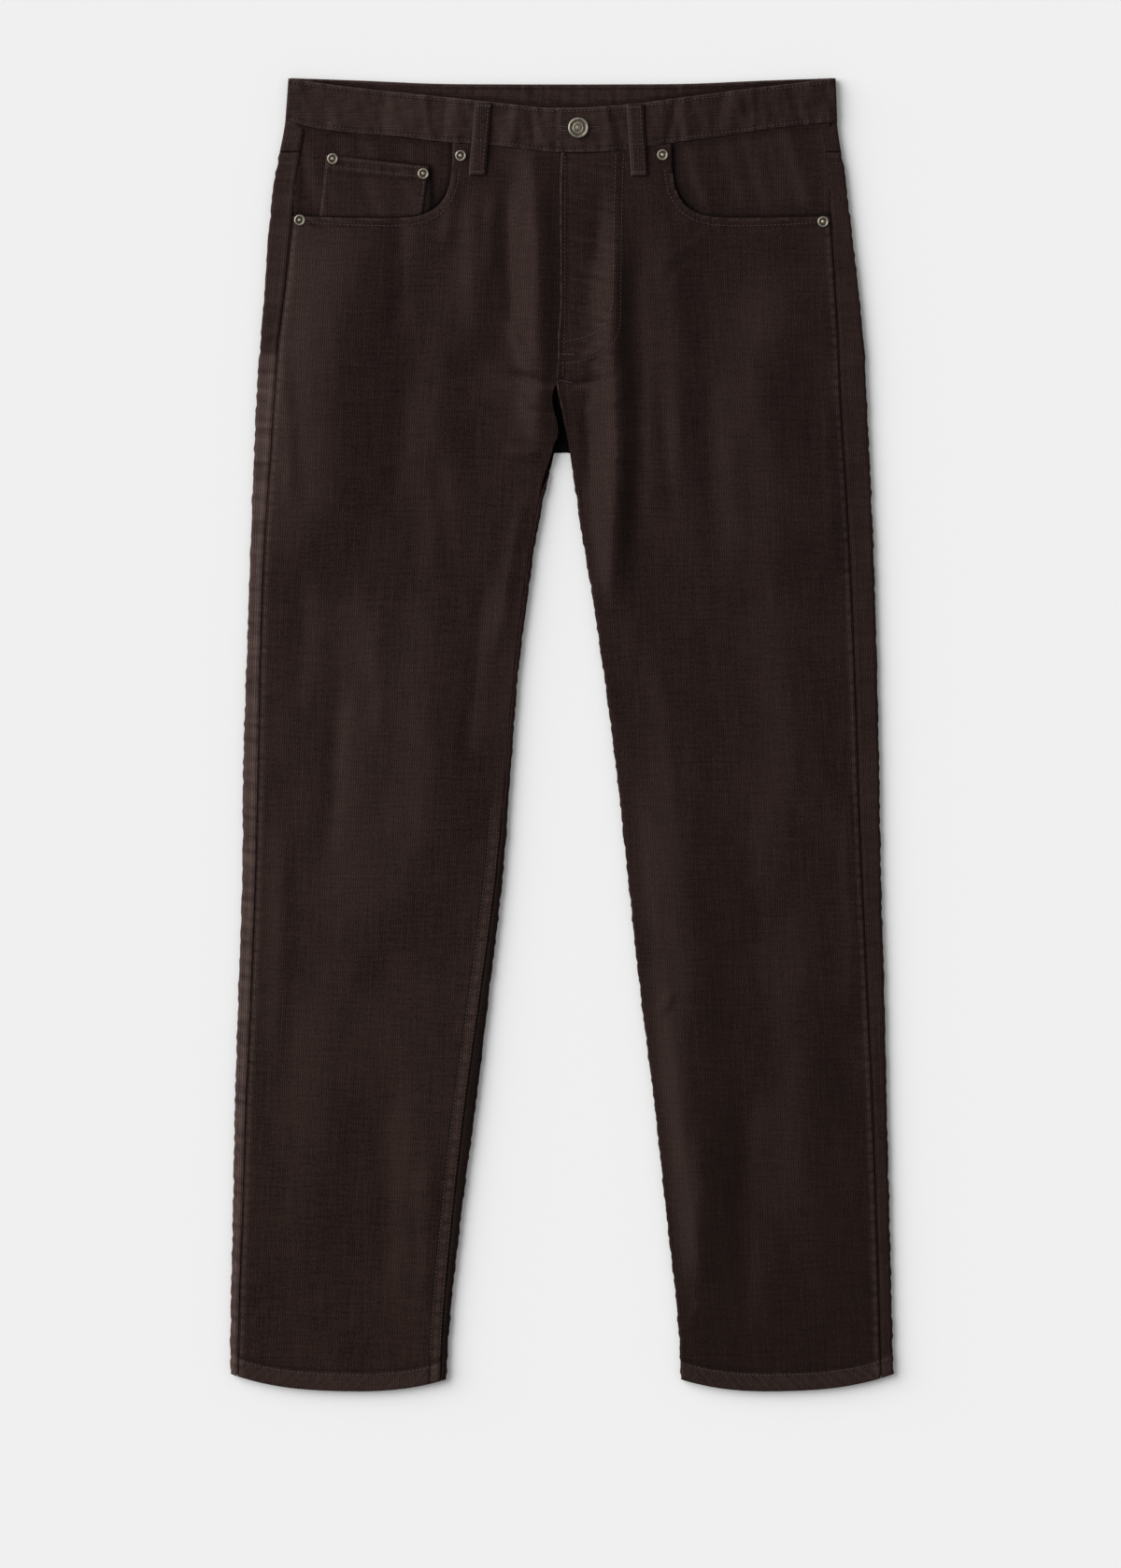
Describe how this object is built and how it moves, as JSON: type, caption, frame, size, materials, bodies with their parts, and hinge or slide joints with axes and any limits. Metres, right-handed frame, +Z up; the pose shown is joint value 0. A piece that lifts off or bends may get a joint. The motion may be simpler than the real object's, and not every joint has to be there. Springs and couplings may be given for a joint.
{
  "type": "corduroy trousers",
  "caption": "Five-pocket corduroy trousers with straight legs, buttoned and laid flat with the front up.",
  "frame": {"origin": "on the surface that the trousers lie on, under the middle of the whole garment", "axes": "+Y along the legs towards the waist, +X to the wearer's left, which is the right of the front view, +Z up out of the surface"},
  "size_m": [0.5542, 1.0972, 0.0138],
  "materials": {
    "corduroy": "fine-wale cotton corduroy, dark brown, matt with a soft sheen along the wales",
    "antique_metal": "aged nickel-toned brass, dull, darker in the grooves and brighter on the rims",
    "thread": "dark brown polyester topstitching thread"
  },
  "bodies": {
    "root": {"front_right": "corduroy", "back_right": "corduroy", "yoke_right": "corduroy", "pocket_facing_right": "corduroy", "back_pocket_right": "corduroy", "front_left": "corduroy", "back_left": "corduroy", "yoke_left": "corduroy", "pocket_facing_left": "corduroy", "back_pocket_left": "corduroy", "waistband": "corduroy", "coin_pocket": "corduroy", "belt_loop_front_right": "corduroy", "belt_loop_front_left": "corduroy", "belt_loop_back_right": "corduroy", "belt_loop_back_centre": "corduroy", "belt_loop_back_left": "corduroy", "rivet_coin_outer": "antique_metal", "rivet_coin_inner": "antique_metal", "rivet_right_inner": "antique_metal", "rivet_right_outer": "antique_metal", "rivet_left_inner": "antique_metal", "rivet_left_outer": "antique_metal", "tack_button": "antique_metal"}
  },
  "joints": []
}
